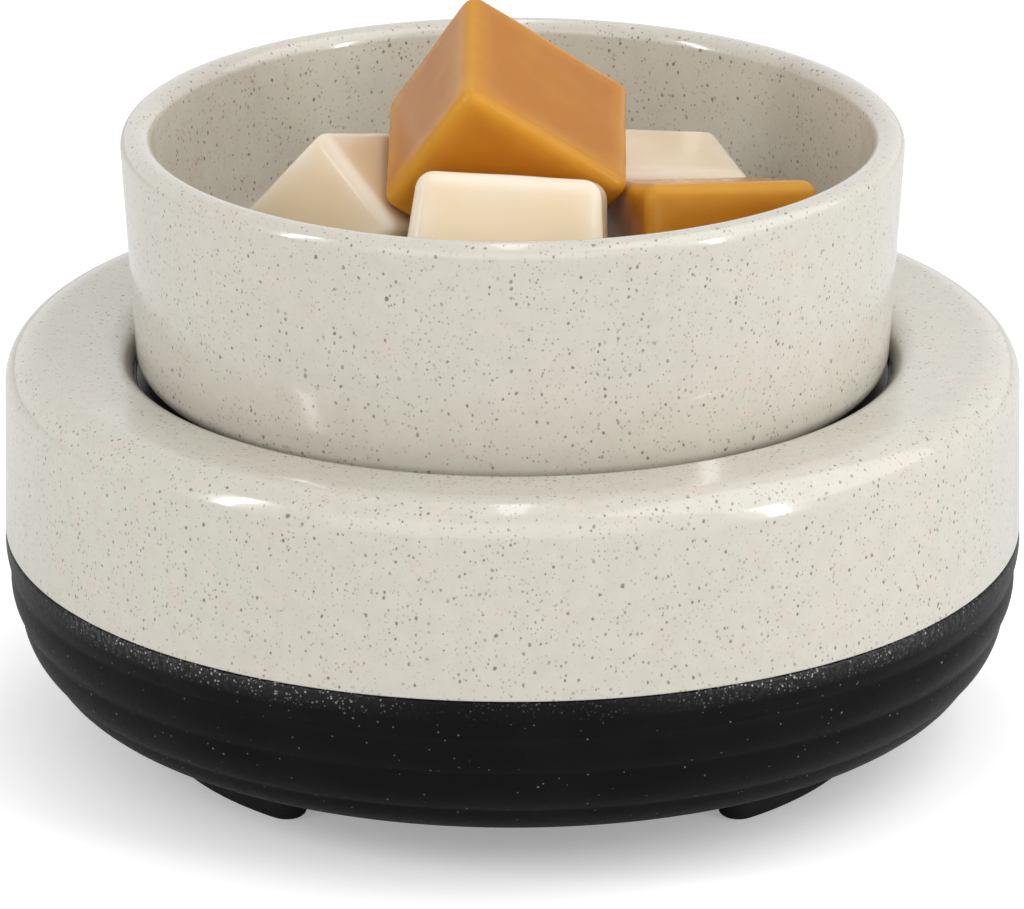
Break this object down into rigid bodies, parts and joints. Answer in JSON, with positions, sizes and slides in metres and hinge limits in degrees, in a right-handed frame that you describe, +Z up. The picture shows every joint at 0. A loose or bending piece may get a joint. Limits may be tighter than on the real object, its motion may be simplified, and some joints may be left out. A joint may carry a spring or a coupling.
{
  "type": "wax melt warmer",
  "caption": "Electric wax melt warmer with a round ceramic body on feet, a warm plate in its well and a lift-off speckled dish of wax blocks",
  "frame": {"origin": "centre of the base on the table, under the feet", "axes": "+Z up, the front faces -Y, the cord inlet is at +Y"},
  "size_m": [0.14, 0.14, 0.1015],
  "materials": {
    "upper_shell": "gloss cream glaze with fine brown and grey specks",
    "lower_shell": "matt black glaze with a fine grain, soft turned bands",
    "rubber_feet": "matt black",
    "base_cover": "matt black, moulded",
    "tie_screws": "zinc plated",
    "plate_posts": "turned",
    "plate_gasket": "red silicone",
    "heating_plate": "black heat-proof coat",
    "heater_case": "extruded, plain",
    "ptc_core": "dark grey, film wrapped",
    "insulation_pad": "woven glass pad",
    "heater_clamp": "pressed strip",
    "fuse_clip": "pressed strip",
    "clamp_screws": "zinc plated",
    "thermal_fuse": "white ceramic sleeve",
    "fuse_link": "heat-proof sleeve",
    "live_lead": "brown insulation",
    "neutral_lead": "blue insulation",
    "terminal_block": "off-white, moulded",
    "terminal_screws": "zinc plated",
    "cord_bush": "matt black",
    "wax_dish": "gloss cream glaze with fine brown and grey specks",
    "wax_cream_front": "cream scented wax, satin and slightly see-through",
    "wax_cream_left": "cream scented wax, satin and slightly see-through",
    "wax_cream_back": "cream scented wax, satin and slightly see-through",
    "wax_caramel_right": "caramel scented wax, satin and slightly see-through",
    "wax_caramel_top": "caramel scented wax, satin and slightly see-through"
  },
  "bodies": {
    "body": {"upper_shell": "upper_shell", "lower_shell": "lower_shell", "rubber_feet": "rubber_feet", "base_cover": "base_cover", "tie_screws": "tie_screws", "plate_posts": "plate_posts", "plate_gasket": "plate_gasket", "heating_plate": "heating_plate", "heater_case": "heater_case", "ptc_core": "ptc_core", "insulation_pad": "insulation_pad", "heater_clamp": "heater_clamp", "fuse_clip": "fuse_clip", "clamp_screws": "clamp_screws", "thermal_fuse": "thermal_fuse", "fuse_link": "fuse_link", "live_lead": "live_lead", "neutral_lead": "neutral_lead", "terminal_block": "terminal_block", "terminal_screws": "terminal_screws", "cord_bush": "cord_bush"},
    "dish": {"wax_dish": "wax_dish"},
    "melts": {"wax_cream_front": "wax_cream_front", "wax_cream_left": "wax_cream_left", "wax_cream_back": "wax_cream_back", "wax_caramel_right": "wax_caramel_right"},
    "top_melt": {"wax_caramel_top": "wax_caramel_top"}
  },
  "joints": [
    {"name": "dish_lift", "type": "slide", "parent": "body", "child": "dish", "axis": [0, 0, 1], "range_m": [0, 0.06]},
    {"name": "melts_lift", "type": "slide", "parent": "dish", "child": "melts", "axis": [0, 0, 1], "range_m": [0, 0.045]},
    {"name": "top_melt_lift", "type": "slide", "parent": "melts", "child": "top_melt", "axis": [0, 0, 1], "range_m": [0, 0.04]}
  ]
}
